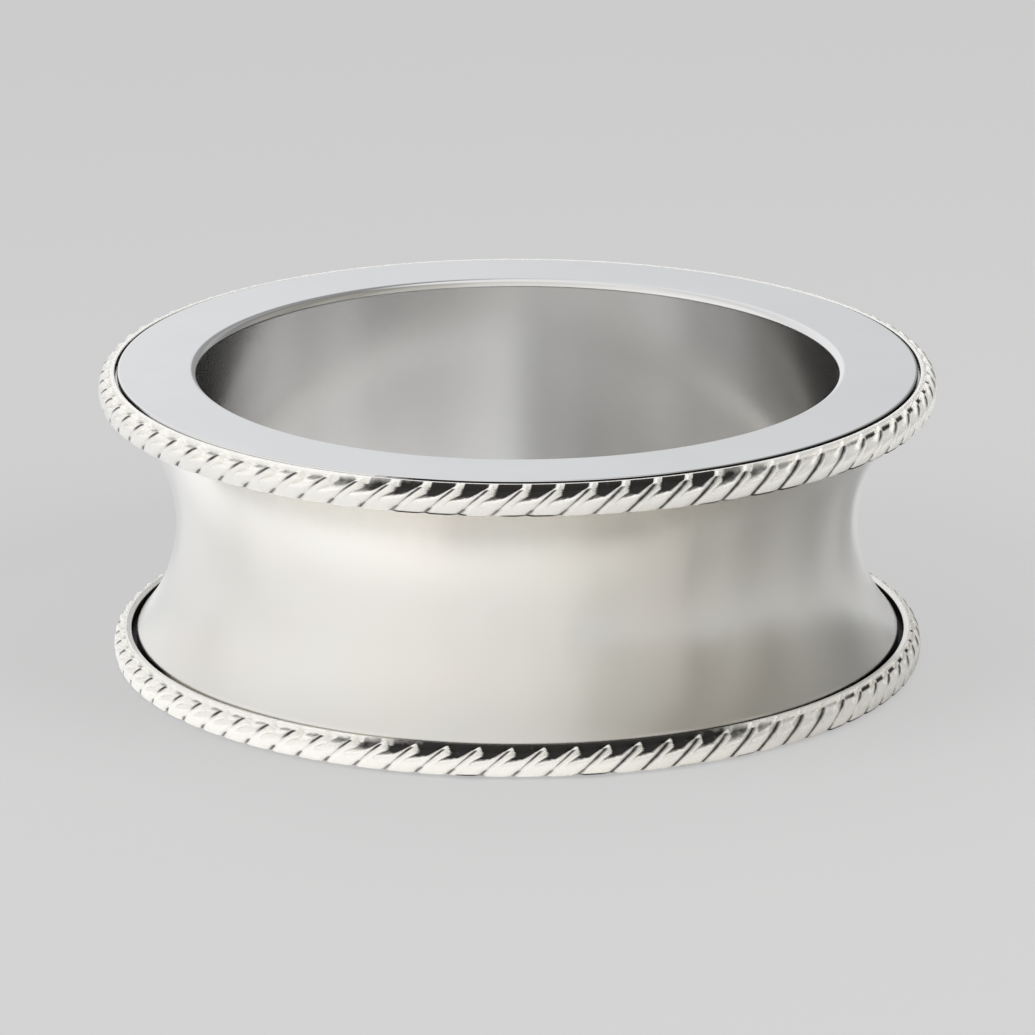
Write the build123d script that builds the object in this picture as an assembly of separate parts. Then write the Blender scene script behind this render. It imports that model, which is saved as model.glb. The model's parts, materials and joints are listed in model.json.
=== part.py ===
from build123d import *
from math import asin, cos, sin, sqrt
import os

# Wine bottle coaster: a waisted, silver-plated wall around a deep well, with a rope border at each end.
# The Z axis is the axis of the well, and z = 0 is the table that the felt stands on.

# Well
well_radius = 53.3
well_depth = 40.0

# Liner: brim, lip, well and floor in one spun sheet
liner_sheet = 1.2
lip_radius = 2.0
floor_corner_radius = 3.0
brim_edge_roll = 0.6

# Waisted wall
wall_sheet = 1.2
waist_air_gap = 1.4
waist_height = 24.8
top_flare = 9.9
foot_flare = 6.8
foot_flare_rise = 0.5
flare_bend_radius = 1.2
foot_lift = 1.0

# Rope borders
border_height = 4.9
upper_border_width = 2.75
lower_border_width = 3.75
upper_border_drop = 0.2
lower_border_lift = 0.5
border_edge_bevel = 0.4
foot_groove = 0.85
foot_groove_depth = 2.0
lobe_count = 80
lobe_root_radius = 1.6
lobe_tip_radius = 1.25
lobe_slant_run = 1.9
lobe_tip_drop = 0.3
lobe_root_drop = 0.25
lobe_sink = 0.25

# Foot ring, base and felt
foot_ring_sheet = 1.2
foot_ring_leg = 3.0
foot_ring_flange = 4.5
base_thickness = 7.3
base_rim_thickness = 2.0
felt_thickness = 1.5
felt_margin = 0.8

# Stud, washer and nut
stud_radius = 2.5
stud_head_radius = 7.0
stud_head_thickness = 0.8
washer_radius = 7.0
washer_thickness = 0.8
nut_across_flats = 8.0
nut_thickness = 2.4
stud_end_clearance = 0.3

# Clearances
solder_gap = 0.05
brim_groove = 0.4
thread_gap = 0.05
drop_in_gap = 0.3

# Radii that follow from the sizes above
liner_outer_radius = well_radius + liner_sheet
waist_radius = liner_outer_radius + waist_air_gap + wall_sheet
top_collar_radius = waist_radius + top_flare
foot_collar_radius = waist_radius + foot_flare
upper_border_inner = top_collar_radius + solder_gap
lower_border_inner = foot_collar_radius + solder_gap
brim_radius = upper_border_inner - brim_groove
foot_ring_outer = foot_collar_radius - wall_sheet - solder_gap
foot_ring_inner = foot_ring_outer - foot_ring_sheet - foot_ring_flange
base_rim_radius = foot_ring_outer - foot_ring_sheet - drop_in_gap
counterbore_radius = washer_radius + drop_in_gap

# Heights that follow from the sizes above
floor_underside = felt_thickness + base_thickness
brim_underside = floor_underside + well_depth
overall_height = brim_underside + liner_sheet
upper_border_base = overall_height - upper_border_drop - border_height
base_rim_top = felt_thickness + base_rim_thickness
foot_ring_top = base_rim_top + foot_ring_sheet
foot_flare_height = foot_ring_top + foot_flare_rise
nut_base = felt_thickness + 2 * stud_end_clearance
washer_base = nut_base + nut_thickness
counterbore_top = washer_base + washer_thickness


def turned(section, turn=360):
    """Solid of revolution of a section drawn as radius and height."""
    return revolve(Plane.XZ * section, Axis.Z, turn)


def sheet(corners, bends, thickness, side):
    """Spun sheet: a bent line of radius and height, given its thickness on one side."""
    line = Wire(FilletPolyline(*corners, radius=bends).edges())
    return turned(make_face(line.offset_2d(thickness, kind=Kind.INTERSECTION, side=side).edges()))


def disc(radius, bottom, top):
    """Plain disc between two heights."""
    return Pos(0, 0, bottom) * Cylinder(radius, top - bottom, align=(Align.CENTER, Align.CENTER, Align.MIN))


def well_liner():
    """Brim, lip, well wall and floor as one spun sheet, drawn along the underside of the sheet."""
    corners = [
        (0, floor_underside),
        (liner_outer_radius, floor_underside),
        (liner_outer_radius, brim_underside),
        (brim_radius, brim_underside),
    ]
    bends = [floor_corner_radius + liner_sheet, lip_radius - liner_sheet]
    cup = sheet(corners, bends, liner_sheet, Side.LEFT)
    edge = cup.edges().filter_by(GeomType.CIRCLE).group_by(Axis.Z)[-1].sort_by(SortBy.RADIUS)[-1]
    return fillet(edge, min(brim_edge_roll, 0.8 * liner_sheet))


def waist_wall():
    """Waisted wall: one hollow curve between two upright collars, drawn along the outside of the sheet."""
    foot_flare_edge = (foot_collar_radius, foot_flare_height)
    top_flare_edge = (top_collar_radius, upper_border_base)
    foot = Line((foot_collar_radius, foot_lift), foot_flare_edge)
    hollow = ThreePointArc(foot_flare_edge, (waist_radius, waist_height), top_flare_edge)
    top = Line(top_flare_edge, (top_collar_radius, brim_underside))
    outline = Wire([foot.edge(), hollow.edge(), top.edge()])
    bent = outline.fillet_2d(flare_bend_radius, outline.vertices().sort_by(Axis.Y)[1:3])
    return turned(make_face(bent.offset_2d(wall_sheet, kind=Kind.INTERSECTION, side=Side.LEFT).edges()))


def lobe(rope_radius, base):
    """One slanting lobe: the outer half of a tapered bar with a round tip and root."""
    root_height = base + lobe_root_radius
    rise = border_height - lobe_tip_drop - lobe_tip_radius - lobe_root_radius
    length = sqrt(rise**2 + lobe_slant_run**2)
    taper = asin((lobe_root_radius - lobe_tip_radius) / length)
    root_side = (lobe_root_radius * cos(taper), lobe_root_radius * sin(taper))
    tip_side = (lobe_tip_radius * cos(taper), length + lobe_tip_radius * sin(taper))
    outline = [
        RadiusArc((0, -lobe_root_radius), root_side, -lobe_root_radius),
        Line(root_side, tip_side),
        RadiusArc(tip_side, (0, length + lobe_tip_radius), -lobe_tip_radius),
        Line((0, length + lobe_tip_radius), (0, -lobe_root_radius)),
    ]
    half_bar = turned(make_face([line.edge() for line in outline]), 180)
    seat = Plane(
        origin=(rope_radius - lobe_root_radius, -lobe_slant_run / 2, root_height),
        x_dir=(0, -rise, lobe_slant_run),
        z_dir=(0, lobe_slant_run, rise),
    )
    return seat.location * half_bar


def rope_border(inner_radius, width, base, groove):
    """Border ring: a plain strip with one flat behind each lobe, the lobes, and a groove inside the top."""
    rope_radius = inner_radius + width
    flat_radius = rope_radius - lobe_root_radius + lobe_sink
    flats = RegularPolygon(flat_radius, lobe_count, major_radius=False, rotation=180 / lobe_count)
    strip = Pos(0, 0, base + lobe_root_drop) * extrude(flats, border_height - lobe_root_drop)
    strip -= disc(inner_radius, base, base + border_height)
    if groove:
        groove_base = base + border_height - foot_groove_depth
        strip -= disc(inner_radius + groove, groove_base, base + border_height)
    edge_bevel = min(border_edge_bevel, 0.4 * (flat_radius - inner_radius - groove))
    strip = chamfer(strip.edges().group_by(Axis.Z)[-1], edge_bevel)
    first = lobe(rope_radius, base)
    return strip.fuse(*[Rot(0, 0, 360 * step / lobe_count) * first for step in range(lobe_count)])


def foot_ring():
    """Angle ring inside the foot collar: a leg along the wall and a flange over the rim of the base."""
    corners = [
        (foot_ring_outer, foot_ring_top - foot_ring_leg),
        (foot_ring_outer, foot_ring_top),
        (foot_ring_inner, foot_ring_top),
    ]
    return sheet(corners, foot_ring_sheet + drop_in_gap, foot_ring_sheet, Side.LEFT)


def base_disc():
    """Turned hardwood base: a rim under the foot ring, a raised middle under the well, a hole for the stud."""
    rim = disc(base_rim_radius, felt_thickness, base_rim_top)
    middle = disc(foot_ring_inner - drop_in_gap, felt_thickness, floor_underside)
    head_room = disc(stud_head_radius + drop_in_gap, floor_underside - stud_head_thickness, floor_underside)
    hole = disc(stud_radius + drop_in_gap, felt_thickness, floor_underside)
    counterbore = disc(counterbore_radius, felt_thickness, counterbore_top)
    return rim + middle - head_room - hole - counterbore


def centre_stud():
    """Flanged stud under the floor of the well."""
    head = disc(stud_head_radius, floor_underside - stud_head_thickness, floor_underside)
    return head + disc(stud_radius, felt_thickness + stud_end_clearance, floor_underside)


def base_washer():
    """Washer at the bottom of the counterbore."""
    plate = disc(washer_radius, washer_base, counterbore_top)
    return plate - disc(stud_radius + drop_in_gap, washer_base, counterbore_top)


def base_nut():
    """Six-sided nut on the stud, under the washer."""
    hexagon = RegularPolygon(nut_across_flats / 2, 6, major_radius=False)
    nut = Pos(0, 0, nut_base) * extrude(hexagon, nut_thickness)
    return nut - disc(stud_radius + thread_gap, nut_base, washer_base)


def felt_pad():
    """Felt disc under the base."""
    return disc(base_rim_radius - felt_margin, 0, felt_thickness)


def build():
    """Write each piece to its own file."""
    upper_border = rope_border(upper_border_inner, upper_border_width, upper_border_base, 0)
    lower_border = rope_border(lower_border_inner, lower_border_width, lower_border_lift, foot_groove)
    pieces = {
        "well_liner": well_liner(),
        "waist_wall": waist_wall(),
        "upper_rope_border": upper_border,
        "lower_rope_border": lower_border,
        "foot_ring": foot_ring(),
        "base_disc": base_disc(),
        "centre_stud": centre_stud(),
        "base_washer": base_washer(),
        "base_nut": base_nut(),
        "felt_pad": felt_pad(),
    }
    os.makedirs("parts", exist_ok=True)
    for name, piece in pieces.items():
        export_step(piece, f"parts/{name}.step")


build()
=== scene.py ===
import json
from math import atan2, cos, degrees, floor, hypot, pi, radians, sin, sqrt

import bmesh
import bpy
from mathutils import Matrix, Vector, noise


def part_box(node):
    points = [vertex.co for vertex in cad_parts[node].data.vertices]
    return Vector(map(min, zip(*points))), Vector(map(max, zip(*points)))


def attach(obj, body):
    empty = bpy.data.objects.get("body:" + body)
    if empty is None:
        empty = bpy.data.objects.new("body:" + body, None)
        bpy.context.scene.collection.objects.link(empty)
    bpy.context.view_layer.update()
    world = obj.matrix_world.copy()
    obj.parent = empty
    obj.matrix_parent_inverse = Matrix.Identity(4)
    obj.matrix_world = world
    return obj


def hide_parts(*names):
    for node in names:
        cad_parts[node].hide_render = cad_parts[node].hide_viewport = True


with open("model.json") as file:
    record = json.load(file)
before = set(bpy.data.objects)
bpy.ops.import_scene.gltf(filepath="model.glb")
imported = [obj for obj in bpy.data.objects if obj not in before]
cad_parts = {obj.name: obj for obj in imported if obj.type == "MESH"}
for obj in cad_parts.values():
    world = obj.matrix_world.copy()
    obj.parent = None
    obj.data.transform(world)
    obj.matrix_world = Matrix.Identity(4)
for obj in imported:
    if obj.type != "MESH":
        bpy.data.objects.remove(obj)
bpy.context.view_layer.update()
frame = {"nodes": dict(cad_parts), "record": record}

MM = 0.001

# Sizes read from the frame
liner_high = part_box("well_liner")[1]
wall_low, wall_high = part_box("waist_wall")
upper_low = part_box("upper_rope_border")[0]
felt_low, felt_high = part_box("felt_pad")
mounts = {mount["name"]: mount for mount in frame["record"]["mounts"]}
WELL_RADIUS = mounts["bottle_well"]["dims"]["r_mm"] * MM
FLOOR_TOP = mounts["well_floor"]["pos_m"][2]

# Sheet metal
SHEET = 1.2 * MM
LIP_RADIUS = 1.3 * MM
FLOOR_CORNER = 3.0 * MM
BRIM_ROLL = 0.4 * MM
# Painted shade at the brim's outer edge, in the groove beside the rope, is this wide
BRIM_SHADE = 0.15 * MM
WAIST_RADIUS = 57.1 * MM
WAIST_HEIGHT = 24.8 * MM
FOOT_COLLAR = 63.9 * MM
FOOT_FLARE_HEIGHT = 5.2 * MM
FLARE_BEND = SHEET
# Painted shade at the foot of the wall reaches this far above the bend
COLLAR_SHADE = 0.1 * MM
WAVER_DEPTH = 0.25 * MM
WAVER_AROUND = 3.6
WAVER_HEIGHT = 30 * MM
WAVER_FINENESS = 3
WAVER_FINE_SHARE = 0.3
SHEET_CREASE = 40

# Rings of the rope borders
UPPER_STRIP = 0.6 * MM
LOWER_STRIP = 0.9 * MM
LOWER_TILT = 0.18 * MM
STRIP_ROUND = 0.2 * MM
BACK_BEVEL = 0.3 * MM
FOOT_GROOVE = 0.85 * MM
FOOT_GROOVE_DEPTH = 2.0 * MM
SHOULDER_DROP = 2.5 * MM
SHOULDER_ROWS = 28
SHOULDER_WEIGHT = 0.3
FACE_TUCK = 0.6 * MM
FACE_ROWS = 14
SOLDER_GAP = 0.05 * MM
BOX_MARGIN = 0.01 * MM
ROPE_CREASE = 75

# Lobes of the ropes: widths are shares of half the pitch, and a zone is in shares of the way down
LOBES = 80
STEPS_PER_LOBE = 16
COLUMN_CROWDING = 0.6
UPPER_START = -0.2
LOWER_START = 0.41
LOBE_ADVANCE = 1.1
LOBE_DIFFERENCE = 0.12
CHANCE_STEP = 0.71
CHANCE_LEVEL = 0.7
HEAD_TOP_WIDTH = 0.3
HEAD_WIDTH = 0.88
HEAD_ZONE = (0.06, 0.42)
BAND_TOP_WIDTH = 0.25
BAND_WIDTH = 0.4
BAND_ZONE = (0, 0.2)
SCOOP_DEPTH = 0.95 * MM
SCOOP_ADVANCE = 0.22
SCOOP_OPENING = (0, 0.05)
SCOOP_NARROWING = (0.38, 0.6)
SCOOP_TURN = (0.3, 0.6)
SCOOP_RISE = (0.7, 0.3)
SLIT_ZONE = (0.1, 0.18)
SLIT_TOP_DEPTH = 0.22 * MM
SLIT_ROOT_DEPTH = 0.2 * MM
LOWER_PART = (0.25, 0.9)
VALLEY_WIDTH = 0.16
VALLEY_WIDENING = 0.35
VALLEY_CURVE = 1.5

# Painted shade and dark reflection in the hollows and grooves, with some tarnish: a reach is in cosines
# of the angle away from a side
# The painted shade is darkest on a side at the front, and boldest at the right front
DARKEST_SIDE = radians(-83)
DARKEST_REACH = (0.96, 0.76)
BOLD_SIDE = radians(-57)
BOLD_REACH = (0.9, 0.975)
# The painted shade in the grooves is paler on a stretch of the left front
PALE_GROOVE_SIDE = radians(-132)
PALE_GROOVE_REACH = (0.87, 0.97)
PALE_GROOVE_SHARE = 0.8
RIGHT_REACH = (0.5, 0.85)
RIGHT_LOSS = 0.6
LEFT_REACH = (0, -0.5)
STRIP_FADE_ROWS = 4
SHADE_END = 0.7
OFF_FRONT_END = 0.26
OFF_FRONT_SHARE = 0.5
SHADE_SOLID = 0.4
SHADE_CURVE = 0.3
SHADE_LOSS = 0.3
BOLD_LOSS = 1.5
ROUND_TOP = 0.06
ROUND_TOP_RISE = 0.13
ROUND_TOP_FADE = 0.04
CRACK_WIDTH = 0.4
CRACK_OFF_FRONT = 0.15
CRACK_BOLD = 0.3
CRACK_NARROWING = 0.28
CRACK_LOSS = 0.3
CRACK_SIDE_LOSS = 0.4
CRACK_SIDE_ZONE = (0.35, 0.6)
NOTCH_ZONE = (0.63, 0.82)
NOTCH_WIDTH = 0.5
NOTCH_SHADE = 0.9
# A broken painted shadow along the lower edge of each rope
EDGE_ZONE = (0.89, 0.94)
EDGE_PATCHES = 5
EDGE_BREAKS = (-0.15, 0.1)
EDGE_REACH = (-0.8, -0.3)

# Felt
FELT_ROUND = 0.45 * MM
FELT_FUZZ = 0.06 * MM
FELT_GRAIN = 900
FELT_SWELL = 270
FELT_CREASE = 60

# Meshes
SECTORS = 16
STEPS_PER_SECTOR = 24
END_SUPPORT = 0.12 * MM
MERGE_GAP = 0.002 * MM

# Camera
LENS = 300
SENSOR = 36
CLIP_END = 20
CAMERA_PLACE = (0, -1.38, 0.448)
CAMERA_AIM = (0, 0, 0.0235)

# Studio
FLOOR_HALF = 3
FLOOR_TONE = (0.604, 0.604, 0.604)
FLOOR_GLOW = 0.75
FLOOR_SQUEEZE = 1.4
# In reflections the floor shows painted light and shade: studio tones close in, brighter near the piece,
# and a painted shadow close on its right
LIFT_RADII = (0.1, 0.2)
NEAR_RADII = (0.078, 0.095)
NEAR_GAIN = 1.45
DIM_SIDE = (0.03, 0.065)
DIM_RADII = (0.08, 0.097)
DIM_LOSS = -0.42
CEILING_RISE = (0.3, 0.9)
CEILING_LEVEL = 0.86
OVERHEAD_RISE = (0.87, 0.97)
OVERHEAD_TONE = (0.95, 0.95, 0.95)
WORLD_FILL = 0.55
STUDIO_TONES = [
    (-180, (0.7, 0.712, 0.727)),
    (-172, (0.86, 0.87, 0.885)),
    (-145, (0.84, 0.84, 0.845)),
    (-114, (0.77, 0.77, 0.765)),
    (-100, (0.87, 0.865, 0.855)),
    (-60, (0.89, 0.885, 0.87)),
    (-40, (0.87, 0.86, 0.84)),
    (0, (0.77, 0.76, 0.73)),
    (16, (0.71, 0.695, 0.66)),
    (28, (0.55, 0.54, 0.5)),
    (52, (0.47, 0.455, 0.42)),
    (62, (0.32, 0.31, 0.28)),
    (76, (0.4, 0.385, 0.35)),
    (88, (0.27, 0.26, 0.235)),
    (104, (0.34, 0.33, 0.305)),
    (127, (0.23, 0.23, 0.225)),
    (146, (0.4, 0.4, 0.4)),
    (156, (0.3, 0.3, 0.3)),
    (173, (0.33, 0.33, 0.335)),
    (177, (0.65, 0.661, 0.675)),
    (180, (0.7, 0.712, 0.727)),
]
SOFTBOXES = [
    ("left softbox", (-0.6, -0.35, 0.6), 0.6, 4.2),
    ("right softbox", (0.6, -0.35, 0.6), 0.6, 5.6),
    ("top softbox", (0.0, 0.5, 1.3), 1.6, 8),
]


def link(name, bm, material, node):
    """Make an object from a bmesh, which stands for a CAD node and rides on the one body."""
    mesh = bpy.data.meshes.new(name)
    bm.to_mesh(mesh)
    bm.free()
    mesh.materials.append(material)
    piece = bpy.data.objects.new(name, mesh)
    bpy.context.scene.collection.objects.link(piece)
    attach(piece, "root")
    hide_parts(node)
    return piece


def arc(centre, radius, start, stop, steps):
    """Points of radius and height along an arc, from one angle to another in degrees."""
    points = []
    for step in range(steps + 1):
        angle = radians(start + (stop - start) * step / steps)
        points.append((centre[0] + radius * cos(angle), centre[1] + radius * sin(angle)))
    return points


def line(start, stop, steps):
    """Points between two ends of a straight run, with one close to each end to keep it flat."""
    across = stop[0] - start[0]
    up = stop[1] - start[1]
    support = END_SUPPORT / hypot(across, up)
    shares = [support] + [step / steps for step in range(1, steps)] + [1 - support]
    return [(start[0] + across * share, start[1] + up * share) for share in shares]


def spun(outline, closed, steps):
    """Turn an outline of radius and height around the Z axis: one sector, doubled until it is full.

    Each vertex keeps the number of its outline point in the layer row.
    """
    bm = bmesh.new()
    row = bm.verts.layers.int.new("row")
    verts = []
    for number, (radius, height) in enumerate(outline):
        vert = bm.verts.new((radius, 0, height))
        vert[row] = number
        verts.append(vert)
    pairs = list(zip(verts, verts[1:]))
    if closed:
        pairs.append((verts[-1], verts[0]))
    edges = [bm.edges.new(pair) for pair in pairs]
    bmesh.ops.spin(
        bm, geom=verts + edges, cent=(0, 0, 0), axis=(0, 0, 1), dvec=(0, 0, 0),
        angle=2 * pi / SECTORS, steps=steps, use_merge=False,
    )
    made = 1
    while made < SECTORS:
        copy = bmesh.ops.duplicate(bm, geom=bm.verts[:] + bm.edges[:] + bm.faces[:])["geom"]
        copied = [item for item in copy if isinstance(item, bmesh.types.BMVert)]
        turn = Matrix.Rotation(2 * pi * made / SECTORS, 3, "Z")
        bmesh.ops.rotate(bm, verts=copied, cent=(0, 0, 0), matrix=turn)
        made *= 2
    bmesh.ops.remove_doubles(bm, verts=bm.verts, dist=MERGE_GAP)
    bmesh.ops.recalc_face_normals(bm, faces=bm.faces)
    return bm


def smooth(bm, crease):
    """Smooth faces, with sharp lines at the real corners, and no row numbers left."""
    for face in bm.faces:
        face.smooth = True
    for edge in bm.edges:
        edge.smooth = edge.calc_face_angle(0) < radians(crease)
    bm.verts.layers.int.remove(bm.verts.layers.int["row"])


def ease(value, start, stop):
    """Share from 0 to 1 between two values, with soft ends."""
    share = min(1, max(0, (value - start) / (stop - start)))
    return share * share * (3 - 2 * share)


def groove_shade(around):
    """Painted shade in the groove beside a border, paler on a stretch of the left front."""
    return 1 - PALE_GROOVE_SHARE * ease(cos(around - PALE_GROOVE_SIDE), *PALE_GROOVE_REACH)


def darken(bm, in_groove):
    """Mark the painted shade on the vertices that lie in a groove."""
    hollow = bm.verts.layers.float.new("hollow")
    for vert in bm.verts:
        vert[hollow] = in_groove(vert) * groove_shade(atan2(vert.co.y, vert.co.x))


def add(tree, kind, inputs, **settings):
    """Add a node with its settings, and give each named input a value or a link."""
    made = tree.nodes.new(kind)
    for name, value in settings.items():
        setattr(made, name, value)
    for name, value in inputs.items():
        if isinstance(value, bpy.types.NodeSocket):
            tree.links.new(value, made.inputs[name])
        else:
            made.inputs[name].default_value = value
    return made


def sum_of(tree, first, second):
    return add(tree, "ShaderNodeMath", {0: first, 1: second}, operation="ADD").outputs[0]


def product(tree, first, second):
    return add(tree, "ShaderNodeMath", {0: first, 1: second}, operation="MULTIPLY").outputs[0]


def larger(tree, first, second):
    return add(tree, "ShaderNodeMath", {0: first, 1: second}, operation="MAXIMUM").outputs[0]


def blend(tree, share, first, last, mode="MIX"):
    """Colour between two colours, by a share."""
    inputs = {"Factor": share, 6: first, 7: last}
    return add(tree, "ShaderNodeMix", inputs, data_type="RGBA", blend_type=mode).outputs[2]


def spread(tree, value, start, stop, first, last, soft=False):
    """Map a value from one range to another, and hold it at the ends."""
    kind = "SMOOTHSTEP" if soft else "LINEAR"
    inputs = {"Value": value, "From Min": start, "From Max": stop, "To Min": first, "To Max": last}
    return add(tree, "ShaderNodeMapRange", inputs, interpolation_type=kind).outputs["Result"]


def ramp(tree, share, stops):
    """Colour ramp through stops of position and colour."""
    made = add(tree, "ShaderNodeValToRGB", {"Fac": share})
    points = made.color_ramp.elements
    while len(points) < len(stops):
        points.new(1)
    for point, (position, colour) in zip(points, stops):
        point.position = position
        point.color = (*colour, 1)
    return made.outputs["Color"]


def mottle(tree, place, scale, detail=3.0):
    """Cloudy noise at a place on the piece."""
    inputs = {"Vector": place, "Scale": scale, "Detail": detail}
    return add(tree, "ShaderNodeTexNoise", inputs).outputs["Fac"]


def stretched(tree, place, scale):
    """Object coordinates with a scale of their own along each axis."""
    return add(tree, "ShaderNodeMapping", {"Vector": place, "Scale": scale}).outputs["Vector"]


def axis_distance(tree, place):
    """Distance from the axis of the piece."""
    level = add(tree, "ShaderNodeVectorMath", {0: place, 1: (1, 1, 0)}, operation="MULTIPLY").outputs[0]
    return add(tree, "ShaderNodeVectorMath", {0: level}, operation="LENGTH").outputs["Value"]


def lathe_lines(tree, place, scale):
    """Fine rings that follow the turning: noise along the distance across and up the piece."""
    across = axis_distance(tree, place)
    height = add(tree, "ShaderNodeSeparateXYZ", {0: place}).outputs["Z"]
    along = add(tree, "ShaderNodeMath", {0: across, 1: height}, operation="SUBTRACT").outputs[0]
    inputs = {"W": along, "Scale": scale, "Detail": 2.0}
    return add(tree, "ShaderNodeTexNoise", inputs, noise_dimensions="1D").outputs["Fac"]


def bump(tree, height, strength, distance, normal=None):
    """Bump from a height, on top of another bump where one is given."""
    inputs = {"Height": height, "Strength": strength, "Distance": distance}
    if normal:
        inputs["Normal"] = normal
    return add(tree, "ShaderNodeBump", inputs).outputs["Normal"]


def new_material(name, metallic):
    """A material with its tree, its shader and the object coordinates of the piece."""
    material = bpy.data.materials.new(name)
    material.use_nodes = True
    tree = material.node_tree
    shader = tree.nodes["Principled BSDF"]
    shader.inputs["Metallic"].default_value = metallic
    place = add(tree, "ShaderNodeTexCoord", {}).outputs["Object"]
    return material, tree, shader, place


def wire(tree, shader, **inputs):
    """Link outputs to the shader's inputs, named with underscores."""
    for name, output in inputs.items():
        tree.links.new(output, shader.inputs[name.replace("_", " ")])


def shade_and_tarnish(tree, place):
    """How dark the painted shade is, with some tarnish: the hollow that the mesh carries, made a little
    cloudy.
    """
    depth = add(tree, "ShaderNodeAttribute", {}, attribute_name="hollow").outputs["Fac"]
    cloud = mottle(tree, place, 900)
    return sum_of(tree, depth, spread(tree, cloud, 0.3, 0.7, -0.06, 0.06))


def shaded_and_tarnished(tree, shade, bright):
    """Bright metal that turns black as the painted shade gets darker."""
    shares = ramp(tree, shade, [
        (0.0, (0, 0, 0)),
        (0.5, (0.03, 0.03, 0.03)),
        (0.75, (0.6, 0.6, 0.6)),
        (0.95, (0.98, 0.98, 0.98)),
    ])
    return blend(tree, shares, bright, (0.012, 0.011, 0.01, 1))


def mirror_silver():
    """Mirror polished plate: faint cloudiness, fine turned rings, a duller well."""
    material, tree, shader, place = new_material("mirror_silver", 1)
    cloud = mottle(tree, place, 55)
    rings = lathe_lines(tree, place, 5200)
    across = axis_distance(tree, place)
    dull = spread(tree, across, WELL_RADIUS - 0.2 * MM, WELL_RADIUS + 0.6 * MM, 0.14, 0.0, soft=True)
    off_front = spread(tree, cloud, 0.3, 0.7, 0.03, 0.06)
    bright = ramp(tree, cloud, [(0.3, (0.9, 0.9, 0.9)), (0.7, (0.94, 0.935, 0.93))])
    marks = spread(tree, rings, 0.35, 0.65, 0.0, 0.02)
    # The base colour carries the painted shade along the brim's outer edge
    wire(
        tree, shader, Base_Color=shaded_and_tarnished(tree, shade_and_tarnish(tree, place), bright),
        Roughness=sum_of(tree, sum_of(tree, off_front, dull), marks),
        Normal=bump(tree, rings, 0.06, 0.02 * MM),
    )
    return material


def wall_silver():
    """Hand polished plate: softly uneven, with faint upright bands and hairlines."""
    material, tree, shader, place = new_material("wall_silver", 1)
    cloud = mottle(tree, place, 60)
    bands = mottle(tree, stretched(tree, place, (1, 1, 0.15)), 60, 1.0)
    hairs = mottle(tree, stretched(tree, place, (1, 1, 6)), 1500, 2.0)
    bright = ramp(tree, cloud, [
        (0.1, (0.94, 0.9, 0.86)),
        (0.9, (0.925, 0.935, 0.905)),
    ])
    # The base colour carries the painted shade on the foot collar
    tone = shaded_and_tarnished(tree, shade_and_tarnish(tree, place), bright)
    shader.inputs["Anisotropic"].default_value = 0.9
    shader.inputs["Anisotropic Rotation"].default_value = 0.25
    lay = add(tree, "ShaderNodeTangent", {}, direction_type="RADIAL", axis="Z").outputs["Tangent"]
    wire(
        tree, shader, Base_Color=tone, Roughness=spread(tree, bands, 0.2, 0.8, 0.2, 0.265),
        Normal=bump(tree, hairs, 0.05, 0.02 * MM), Tangent=lay,
    )
    return material


def rope_silver():
    """Polished plate with painted shade and some tarnish in the hollows between the lobes."""
    material, tree, shader, place = new_material("rope_silver", 0.6)
    shader.inputs["Specular IOR Level"].default_value = 0.2
    cloud = mottle(tree, place, 700)
    bright = ramp(tree, cloud, [(0.3, (0.95, 0.93, 0.89)), (0.7, (0.975, 0.96, 0.925))])
    shade = shade_and_tarnish(tree, place)
    wire(
        tree, shader, Base_Color=shaded_and_tarnished(tree, shade, bright),
        Roughness=spread(tree, shade, 0.4, 1.0, 0.25, 0.5),
        Normal=bump(tree, cloud, 0.25, 0.05 * MM),
    )
    return material


def base_felt():
    """Pressed wool felt: matted fibres, lighter nap in patches and a soft sheen."""
    material, tree, shader, place = new_material("base_felt", 0)
    shader.inputs["Sheen Weight"].default_value = 0.4
    shader.inputs["Sheen Roughness"].default_value = 0.5
    nap = mottle(tree, place, 130, 4.0)
    fibre = mottle(tree, stretched(tree, place, (1, 0.35, 1)), 2600, 5.0)
    cross = mottle(tree, stretched(tree, place, (0.35, 1, 1)), 2200, 5.0)
    mat = product(tree, sum_of(tree, fibre, cross), 0.5)
    tone = ramp(tree, product(tree, sum_of(tree, nap, mat), 0.5), [
        (0.32, (0.022, 0.06, 0.038)),
        (0.52, (0.05, 0.12, 0.08)),
        (0.68, (0.1, 0.2, 0.14)),
    ])
    wire(
        tree, shader, Base_Color=tone, Roughness=spread(tree, nap, 0.3, 0.7, 0.88, 1.0),
        Normal=bump(tree, mat, 0.7, 0.25 * MM),
    )
    return material


def base_wood():
    """Oiled hardwood: long grain across the disc, with pores and darker streaks."""
    material, tree, shader, place = new_material("base_wood", 0)
    along = stretched(tree, place, (0.08, 1, 1))
    streak = mottle(tree, along, 220, 5.0)
    pores = mottle(tree, along, 2400, 2.0)
    tone = ramp(tree, streak, [
        (0.3, (0.15, 0.075, 0.035)),
        (0.5, (0.3, 0.17, 0.09)),
        (0.7, (0.42, 0.26, 0.14)),
    ])
    wire(
        tree, shader, Base_Color=tone, Roughness=spread(tree, streak, 0.3, 0.7, 0.55, 0.38),
        Normal=bump(tree, pores, 0.25, 0.1 * MM),
    )
    return material


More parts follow.
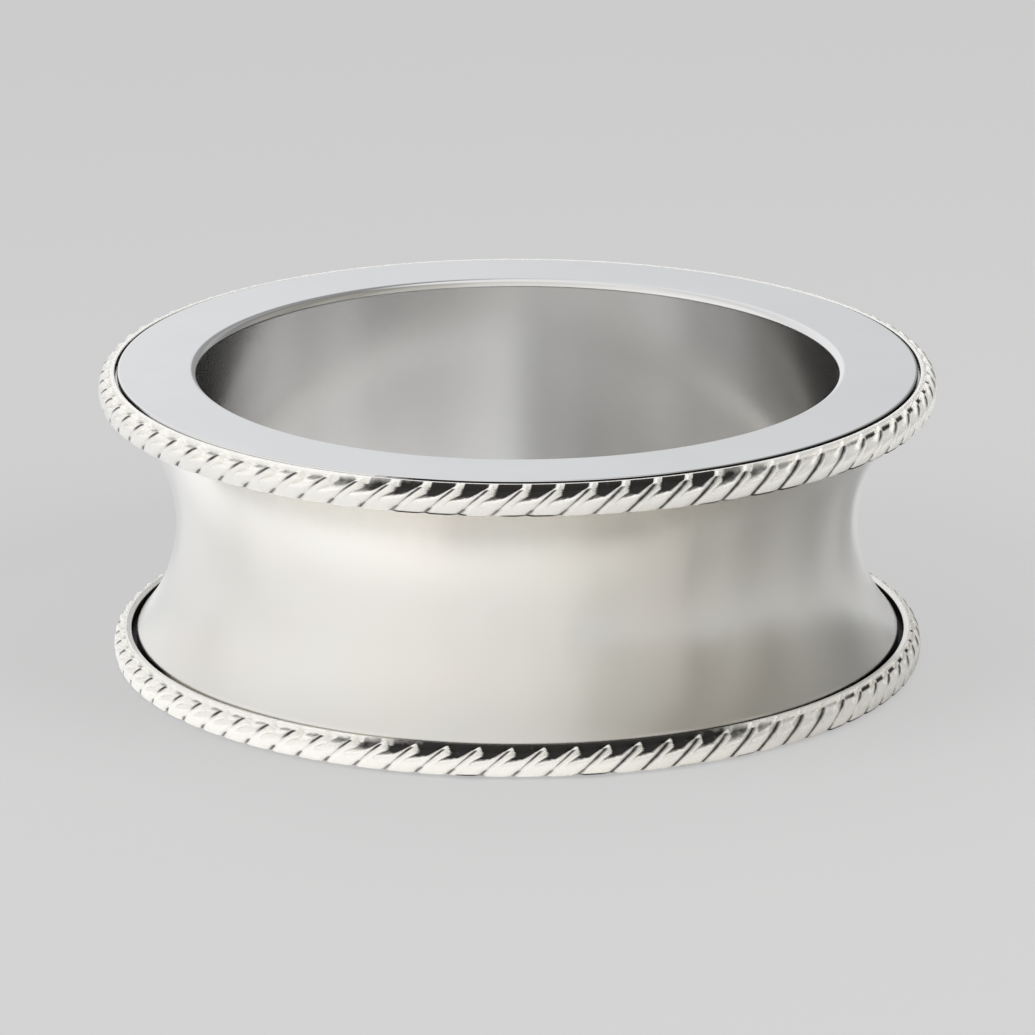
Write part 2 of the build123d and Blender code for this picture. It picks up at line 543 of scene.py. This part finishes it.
def plain_brass():
    """Unplated brass: turned rings and brown patches where it has dulled."""
    material, tree, shader, place = new_material("plain_brass", 1)
    patch = mottle(tree, place, 160, 4.0)
    rings = lathe_lines(tree, place, 4200)
    tone = ramp(tree, patch, [
        (0.3, (0.45, 0.3, 0.12)),
        (0.5, (0.74, 0.57, 0.27)),
        (0.7, (0.82, 0.66, 0.35)),
    ])
    wire(
        tree, shader, Base_Color=tone, Roughness=spread(tree, patch, 0.3, 0.7, 0.45, 0.22),
        Normal=bump(tree, rings, 0.2, 0.04 * MM),
    )
    return material


def plain_steel():
    """Zinc plated steel: a bluish coat with a fine spangle."""
    material, tree, shader, place = new_material("plain_steel", 1)
    spangle = add(tree, "ShaderNodeTexVoronoi", {"Vector": place, "Scale": 1100}).outputs["Distance"]
    patch = mottle(tree, place, 300)
    tone = ramp(tree, patch, [(0.3, (0.5, 0.5, 0.51)), (0.7, (0.66, 0.67, 0.69))])
    wire(
        tree, shader, Base_Color=tone, Roughness=spread(tree, spangle, 0.0, 0.6, 0.28, 0.45),
        Normal=bump(tree, spangle, 0.12, 0.05 * MM),
    )
    return material


def make_liner(material):
    """Brim, lip, well and floor as one sheet."""
    brim_top = liner_high.z
    brim_edge = liner_high.x
    lip_centre = (WELL_RADIUS + LIP_RADIUS, brim_top - LIP_RADIUS)
    corner_centre = (WELL_RADIUS - FLOOR_CORNER, FLOOR_TOP + FLOOR_CORNER)
    roll_centre = (brim_edge - BRIM_ROLL, brim_top - BRIM_ROLL)
    outline = [(0, FLOOR_TOP)]
    outline += line((0, FLOOR_TOP), (corner_centre[0], FLOOR_TOP), 6)
    outline += arc(corner_centre, FLOOR_CORNER, -90, 0, 10)
    outline += line((WELL_RADIUS, corner_centre[1]), (WELL_RADIUS, lip_centre[1]), 8)
    outline += arc(lip_centre, LIP_RADIUS, 180, 90, 14)
    outline += line((lip_centre[0], brim_top), (roll_centre[0], brim_top), 4)
    outline += arc(roll_centre, BRIM_ROLL, 90, 0, 8)
    outline += [(brim_edge, brim_top - SHEET)]
    outline += line((brim_edge, brim_top - SHEET), (lip_centre[0], brim_top - SHEET), 2)
    outline += arc(lip_centre, LIP_RADIUS - SHEET, 90, 180, 8)
    outline += arc(corner_centre, FLOOR_CORNER + SHEET, 0, -90, 8)
    outline += [(0, FLOOR_TOP - SHEET)]
    bm = spun(outline, False, STEPS_PER_SECTOR)
    # Painted shade in the groove along the brim's outer edge
    darken(bm, lambda vert: vert.co.xy.length > brim_edge - BRIM_SHADE)
    smooth(bm, SHEET_CREASE)
    return link("liner_cup", bm, material, "well_liner")


def circle_through(a, b, c):
    """Centre and radius of the circle through the points a, b and c."""
    span = 2 * (a[0] * (b[1] - c[1]) + b[0] * (c[1] - a[1]) + c[0] * (a[1] - b[1]))
    squares = [point[0] ** 2 + point[1] ** 2 for point in (a, b, c)]
    x = (squares[0] * (b[1] - c[1]) + squares[1] * (c[1] - a[1]) + squares[2] * (a[1] - b[1])) / span
    y = (squares[0] * (c[0] - b[0]) + squares[1] * (a[0] - c[0]) + squares[2] * (b[0] - a[0])) / span
    return (x, y), hypot(a[0] - x, a[1] - y)


def bend_centre(collar, hollow, radius, side):
    """Centre of the bend between an upright collar and the hollow curve, above or below its middle."""
    x = collar - FLARE_BEND
    y = hollow[1] + side * sqrt((radius + FLARE_BEND) ** 2 - (x - hollow[0]) ** 2)
    return x, y


def way(start, stop):
    """Direction from one point to another, in degrees."""
    return degrees(atan2(stop[1] - start[1], stop[0] - start[0]))


def make_wall(material):
    """Waisted wall: a softly uneven hollow between two upright collars, with a small bend at each."""
    top_collar = wall_high.x
    foot_edge = (FOOT_COLLAR, FOOT_FLARE_HEIGHT)
    top_edge = (top_collar, upper_low.z)
    hollow, radius = circle_through(foot_edge, (WAIST_RADIUS, WAIST_HEIGHT), top_edge)
    foot_bend = bend_centre(FOOT_COLLAR, hollow, radius, -1)
    top_bend = bend_centre(top_collar, hollow, radius, 1)
    foot_turn = way(foot_bend, hollow)
    top_turn = way(top_bend, hollow)
    outline = [(FOOT_COLLAR, wall_low.z)]
    outline += line((FOOT_COLLAR, wall_low.z), (FOOT_COLLAR, foot_bend[1]), 3)
    outline += arc(foot_bend, FLARE_BEND, 0, foot_turn, 7)
    outline += arc(hollow, radius, foot_turn + 180, top_turn + 180, 80)[1:-1]
    outline += arc(top_bend, FLARE_BEND, top_turn, 0, 7)
    outline += line((top_collar, top_bend[1]), (top_collar, wall_high.z), 3)
    outline += [(top_collar, wall_high.z), (top_collar - SHEET, wall_high.z), top_bend]
    outline += arc(hollow, radius + SHEET, top_turn + 180, foot_turn + 180, 24)[1:-1]
    outline += [foot_bend, (FOOT_COLLAR - SHEET, wall_low.z)]
    bm = spun(outline, True, STEPS_PER_SECTOR)
    for vert in bm.verts:
        share = (vert.co.z - foot_bend[1]) / (top_bend[1] - foot_bend[1])
        if 0 < share < 1:
            around = Vector((vert.co.x, vert.co.y, 0)).normalized()
            spot = Vector((around.x * WAVER_AROUND, around.y * WAVER_AROUND, vert.co.z / WAVER_HEIGHT))
            wave = noise.noise(spot) + WAVER_FINE_SHARE * noise.noise(WAVER_FINENESS * spot)
            vert.co += around * WAVER_DEPTH * wave * sin(pi * share)
    # Painted shade on the foot collar, up to just above its bend
    darken(bm, lambda vert: vert.co.z < foot_bend[1] + COLLAR_SHADE)
    smooth(bm, SHEET_CREASE)
    return link("waisted_wall", bm, material, "waist_wall")


def dip(across, half):
    """0 on the crest of a rounded ridge, 1 beside it."""
    return 1 - sqrt(max(0, 1 - (across / half) ** 2))


def rope_section(outer, top, bottom, width):
    """Rows over the shoulder and down the face of a rope: radius, height and facing angle."""
    shoulder = top - SHOULDER_DROP
    rows = []
    for step in range(SHOULDER_ROWS + 1):
        turn = radians(90 * (1 - step / SHOULDER_ROWS))
        facing = atan2(sin(turn) / SHOULDER_DROP, cos(turn) / width)
        rows.append((outer - width + width * cos(turn), shoulder + SHOULDER_DROP * sin(turn), facing))
    drop = shoulder - bottom
    for step in range(1, FACE_ROWS + 1):
        turn = radians(-90 * step / FACE_ROWS)
        facing = atan2(sin(turn) / drop, cos(turn) / FACE_TUCK)
        rows.append((outer - FACE_TUCK + FACE_TUCK * cos(turn), shoulder + drop * sin(turn), facing))
    return rows


def lobe_half(share, across, size):
    """Half width of the ridge of a lobe: a head on one side, a band on the other, full at the bottom."""
    if across > 0:
        width = size * (HEAD_TOP_WIDTH + (HEAD_WIDTH - HEAD_TOP_WIDTH) * ease(share, *HEAD_ZONE))
    else:
        width = size * (BAND_TOP_WIDTH + (BAND_WIDTH - BAND_TOP_WIDTH) * ease(share, *BAND_ZONE))
    return width + (1 - width) * ease(share, *SCOOP_NARROWING)


def lobe_sink(share, across, half):
    """Depth of the scoop beside a lobe and of the slit between two lobes."""
    scoop = ease(share, *SCOOP_OPENING) * ease(share, *SCOOP_RISE) * SCOOP_DEPTH * dip(across, half)
    lower = ease(share, *LOWER_PART)
    valley = max(0, 1 - abs(across) / (VALLEY_WIDTH + VALLEY_WIDENING * lower)) ** VALLEY_CURVE
    depth = SLIT_TOP_DEPTH + (SLIT_ROOT_DEPTH - SLIT_TOP_DEPTH) * lower
    return scoop + ease(share, *SLIT_ZONE) * valley * depth


def scoop_shade(share, across, half, around, off_front, bold):
    """Painted shade and dark reflection in the scoops: black at the front, shorter and paler away from
    it.
    """
    side_paling = OFF_FRONT_SHARE * off_front * (1 - RIGHT_LOSS * ease(cos(around), *RIGHT_REACH))
    shaded_half = half + (1 - half) * side_paling
    end = SHADE_END + (OFF_FRONT_END - SHADE_END) * off_front
    shade = 1 - off_front + off_front * ease(share, *SCOOP_OPENING)
    shade *= ease(share, end, SHADE_SOLID * end) ** SHADE_CURVE * dip(across, shaded_half)
    return shade * (1 - SHADE_LOSS * off_front * max(ease(cos(around), *LEFT_REACH), BOLD_LOSS * bold))


def crack_shade(share, across, off_front, bold):
    """Painted shade in the slit between two lobes, boldest at the right front, with a notch of painted
    shade at its foot.
    """
    lower = ease(share, *LOWER_PART)
    width = CRACK_WIDTH + CRACK_OFF_FRONT * off_front + CRACK_BOLD * bold - CRACK_NARROWING * lower
    fade = (1 - CRACK_LOSS * lower) * (1 - CRACK_SIDE_LOSS * off_front * ease(share, *CRACK_SIDE_ZONE))
    crack = max(0, 1 - abs(across) / width) * ease(share, *SLIT_ZONE) * (fade + (1 - fade) * bold)
    notch = ease(share, *NOTCH_ZONE) * max(0, 1 - abs(across) / NOTCH_WIDTH)
    return max(crack, NOTCH_SHADE * notch)


def edge_shadow(share, around, level):
    """Broken painted shadow along the lower edge of a rope, which leaves out the left side."""
    patch = noise.noise(Vector((EDGE_PATCHES * cos(around), EDGE_PATCHES * sin(around), level)))
    return ease(share, *EDGE_ZONE) * ease(patch, *EDGE_BREAKS) * ease(cos(around), *EDGE_REACH)


def make_border(name, node, inner, groove, strip, tilt, first_lobe, material):
    """Border ring: a plain strip, slanting lobes round its outside and, at the foot, an inner groove."""
    low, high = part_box(node)
    outer = high.x - BOX_MARGIN
    top = high.z - BOX_MARGIN
    bottom = low.z + BOX_MARGIN
    strip_inner = inner + groove
    strip_outer = strip_inner + strip
    strip_top = top - tilt
    back = [(inner, low.z + BACK_BEVEL)]
    if groove:
        back += [(inner, top - FOOT_GROOVE_DEPTH), (strip_inner, top - FOOT_GROOVE_DEPTH)]
    back += line((strip_inner, back[-1][1]), (strip_inner, strip_top - STRIP_ROUND), 2)
    dark_rows = len(back)
    back += arc((strip_inner + STRIP_ROUND, strip_top - STRIP_ROUND), STRIP_ROUND, 180, 90, 6)
    back += line((strip_inner + STRIP_ROUND, strip_top), (strip_outer, top), 2)
    rope = rope_section(outer, top, bottom, outer - strip_outer)
    columns = LOBES * STEPS_PER_LOBE
    bm = spun(back + [(reach, height) for reach, height, facing in rope], True, columns // SECTORS)
    row = bm.verts.layers.int["row"]
    hollow = bm.verts.layers.float.new("hollow")
    pitch = 2 * pi / LOBES
    level = inner / MM
    whole_fall = SHOULDER_WEIGHT * (outer - strip_outer) + (top - low.z)
    for vert in bm.verts:
        phase = round(columns * atan2(vert.co.y, vert.co.x) / (2 * pi)) / STEPS_PER_LOBE
        lobe = floor(phase)
        place = phase - lobe - COLUMN_CROWDING * sin(4 * pi * (phase - lobe)) / (4 * pi)
        across = 2 * place - 1
        around = pitch * (lobe + place + first_lobe)
        # 0 on the front side where the painted shade is darkest, 1 away from it
        off_front = ease(cos(around - DARKEST_SIDE), *DARKEST_REACH)
        bold = ease(cos(around - BOLD_SIDE), *BOLD_REACH)
        front = 1 - 2 * off_front
        number = vert[row] - len(back)
        if number < 0:
            reach, height = back[vert[row]]
            # Painted shade on the back of the ring and in its groove, fading over the strip's rounded
            # inner edge
            shade = ease(vert[row], dark_rows + STRIP_FADE_ROWS, dark_rows) * groove_shade(around)
            if groove:
                # Painted shade over the whole lower strip at the front
                shade = max(shade, front)
            if vert[row] == 0:
                around -= pitch * LOBE_ADVANCE
        else:
            reach, height, facing = rope[number]
            share = (SHOULDER_WEIGHT * (reach - strip_outer) + (top - height)) / whole_fall
            chance = noise.noise(Vector((lobe % LOBES * CHANCE_STEP, level, CHANCE_LEVEL)))
            half = lobe_half(share, across, 1 - LOBE_DIFFERENCE * abs(chance))
            shade = scoop_shade(share, across, half, around, off_front, bold)
            if groove:
                # Painted shade on the lobes' tops beside the strip, at the front
                round_top = ROUND_TOP + ROUND_TOP_RISE * (across / half) ** 2
                shade = max(shade, front * ease(share, round_top + ROUND_TOP_FADE, round_top))
            crack = crack_shade(share, across, off_front, bold)
            # Painted shadow along the lower edge of the rope
            shade = max(shade, crack, edge_shadow(share, around, level))
            sink = lobe_sink(share, across, half)
            reach -= sink * cos(facing)
            height -= sink * sin(facing)
            around -= pitch * LOBE_ADVANCE * share
            around -= pitch * SCOOP_ADVANCE * ease(share, *SCOOP_TURN) * across**2
        vert[hollow] = shade
        vert.co = (reach * cos(around), reach * sin(around), max(height, bottom))
    smooth(bm, ROPE_CREASE)
    return link(name, bm, material, node)


def make_felt(material):
    """Felt disc with a soft rim and a faintly uneven underside."""
    radius = felt_high.x - FELT_FUZZ
    lower = (radius - FELT_ROUND, felt_low.z + FELT_ROUND)
    upper = (radius - FELT_ROUND, felt_high.z - FELT_ROUND)
    outline = [(0, felt_low.z)]
    outline += line((0, felt_low.z), (lower[0], felt_low.z), 12)
    outline += arc(lower, FELT_ROUND, -90, 0, 5)
    outline += arc(upper, FELT_ROUND, 0, 90, 5)
    outline += line((upper[0], felt_high.z), (0, felt_high.z), 3)
    outline += [(0, felt_high.z)]
    bm = spun(outline, False, STEPS_PER_SECTOR)
    for vert in bm.verts:
        spot = Vector(vert.co)
        out = Vector((vert.co.x, vert.co.y, 0)).normalized()
        if vert.co.xy.length > radius - 2 * FELT_ROUND:
            vert.co += out * FELT_FUZZ * noise.noise(spot * FELT_GRAIN)
        if vert.co.z < felt_high.z / 2:
            vert.co.z += FELT_FUZZ * abs(noise.noise(spot * FELT_SWELL))
    smooth(bm, FELT_CREASE)
    piece = link("felt_disc", bm, material, "felt_pad")
    return piece


def dress(node, material):
    """Give a CAD node that stays in the picture its finished material."""
    slots = frame["nodes"][node].data.materials
    slots.clear()
    slots.append(material)


def make_camera():
    """Long lens at the viewing angle of the photograph, aimed at the middle of the coaster."""
    data = bpy.data.cameras.new("camera")
    data.lens = LENS
    data.sensor_width = SENSOR
    data.clip_end = CLIP_END
    camera = bpy.data.objects.new("camera", data)
    bpy.context.scene.collection.objects.link(camera)
    camera.location = CAMERA_PLACE
    aim = Vector(CAMERA_AIM) - camera.location
    camera.rotation_euler = aim.to_track_quat("-Z", "Y").to_euler()
    bpy.context.scene.camera = camera


def surround(tree, place, squeeze):
    """Tone of the studio by direction from the piece, squeezed toward 0 degrees, the camera's side."""
    parts = add(tree, "ShaderNodeSeparateXYZ", {0: place}).outputs
    away = product(tree, parts["Y"], -1.0)
    turn = add(tree, "ShaderNodeMath", {0: parts["X"], 1: away}, operation="ARCTAN2").outputs[0]
    share = spread(tree, turn, -pi / squeeze, pi / squeeze, 0, 1)
    return ramp(tree, share, [((angle + 180) / 360, tone) for angle, tone in STUDIO_TONES])


def mirrored_ray(tree):
    """1 for rays from reflections, 0 for others."""
    ray = add(tree, "ShaderNodeLightPath", {}).outputs
    return larger(tree, ray["Is Glossy Ray"], ray["Is Transmission Ray"])


def seen_ray(tree):
    """1 for rays from the camera and from reflections, 0 for the light that falls on things."""
    ray = add(tree, "ShaderNodeLightPath", {}).outputs
    return larger(tree, ray["Is Camera Ray"], mirrored_ray(tree))


def floor_glow(tree, place):
    """Glow of the floor: even to the camera. In reflections it is painted light in the studio tones by
    direction, no darker than the plain floor far off, brighter close to the piece, with a painted shadow
    close on its right.
    """
    mirrored = mirrored_ray(tree)
    plain = (*FLOOR_TONE, 1)
    across = axis_distance(tree, place)
    lifted = spread(tree, across, *LIFT_RADII, 0, 1)
    studio = blend(tree, lifted, surround(tree, place, FLOOR_SQUEEZE), plain, "LIGHTEN")
    side = add(tree, "ShaderNodeSeparateXYZ", {0: place}).outputs["X"]
    dim = spread(tree, side, *DIM_SIDE, 0, DIM_LOSS)
    right = sum_of(tree, product(tree, dim, spread(tree, across, *DIM_RADII, 1, 0)), 1.0)
    near = product(tree, spread(tree, across, *NEAR_RADII, NEAR_GAIN, 1.0), right)
    gain = add(tree, "ShaderNodeMix", {0: mirrored, 2: 1.0, 3: near}).outputs[0]
    inputs = {"Color": blend(tree, mirrored, plain, studio), "Strength": gain}
    return add(tree, "ShaderNodeEmission", inputs).outputs[0]


def make_floor():
    """Plain pale floor, lit in part by its own glow."""
    bm = bmesh.new()
    bmesh.ops.create_grid(bm, x_segments=1, y_segments=1, size=FLOOR_HALF)
    mesh = bpy.data.meshes.new("floor")
    bm.to_mesh(mesh)
    bm.free()
    floor_plane = bpy.data.objects.new("floor", mesh)
    bpy.context.scene.collection.objects.link(floor_plane)
    material, tree, shader, place = new_material("floor", 0)
    tone = ramp(tree, mottle(tree, place, 3), [(0.3, (0.6, 0.6, 0.6)), (0.7, (0.61, 0.61, 0.61))])
    shader.inputs["Roughness"].default_value = 0.9
    wire(tree, shader, Base_Color=tone)
    share = product(tree, seen_ray(tree), FLOOR_GLOW)
    inputs = {0: share, 1: shader.outputs[0], 2: floor_glow(tree, place)}
    mixed = add(tree, "ShaderNodeMixShader", inputs).outputs[0]
    tree.links.new(mixed, tree.nodes["Material Output"].inputs["Surface"])
    mesh.materials.append(material)


def make_world():
    """Soft light all round: bright to the left, dim to the right, and pale overhead."""
    world = bpy.data.worlds.new("studio")
    world.use_nodes = True
    bpy.context.scene.world = world
    tree = world.node_tree
    toward = add(tree, "ShaderNodeTexCoord", {}).outputs["Generated"]
    up = add(tree, "ShaderNodeSeparateXYZ", {0: toward}).outputs["Z"]
    level = spread(tree, up, *CEILING_RISE, 1.0, CEILING_LEVEL, soft=True)
    share = spread(tree, seen_ray(tree), 0, 1, WORLD_FILL, 1.0)
    above = spread(tree, up, *OVERHEAD_RISE, 0.0, 1.0, soft=True)
    tone = blend(tree, above, surround(tree, toward, 1), (*OVERHEAD_TONE, 1))
    tree.links.new(tone, tree.nodes["Background"].inputs["Color"])
    tree.links.new(product(tree, level, share), tree.nodes["Background"].inputs["Strength"])


def make_lights():
    """Three large soft lamps, one from each side and one overhead behind, which no reflection shows."""
    for name, place, size, power in SOFTBOXES:
        light = bpy.data.lights.new(name, "AREA")
        light.shape = "SQUARE"
        light.size = size
        light.energy = power
        lamp = bpy.data.objects.new(name, light)
        bpy.context.scene.collection.objects.link(lamp)
        lamp.location = place
        lamp.rotation_euler = (-lamp.location).to_track_quat("-Z", "Y").to_euler()
        lamp.visible_glossy = False


bpy.context.scene.view_settings.view_transform = "Standard"
make_camera()
make_floor()
make_world()
make_lights()
make_liner(mirror_silver())
make_wall(wall_silver())
rope_finish = rope_silver()
upper_inner = wall_high.x + SOLDER_GAP
lower_inner = FOOT_COLLAR + SOLDER_GAP
make_border("upper_rope", "upper_rope_border", upper_inner, 0, UPPER_STRIP, 0, UPPER_START, rope_finish)
make_border(
    "lower_rope", "lower_rope_border", lower_inner,
    FOOT_GROOVE, LOWER_STRIP, LOWER_TILT, LOWER_START, rope_finish,
)
make_felt(base_felt())
dress("base_disc", base_wood())
brass_finish = plain_brass()
dress("foot_ring", brass_finish)
dress("centre_stud", brass_finish)
steel_finish = plain_steel()
dress("base_washer", steel_finish)
dress("base_nut", steel_finish)
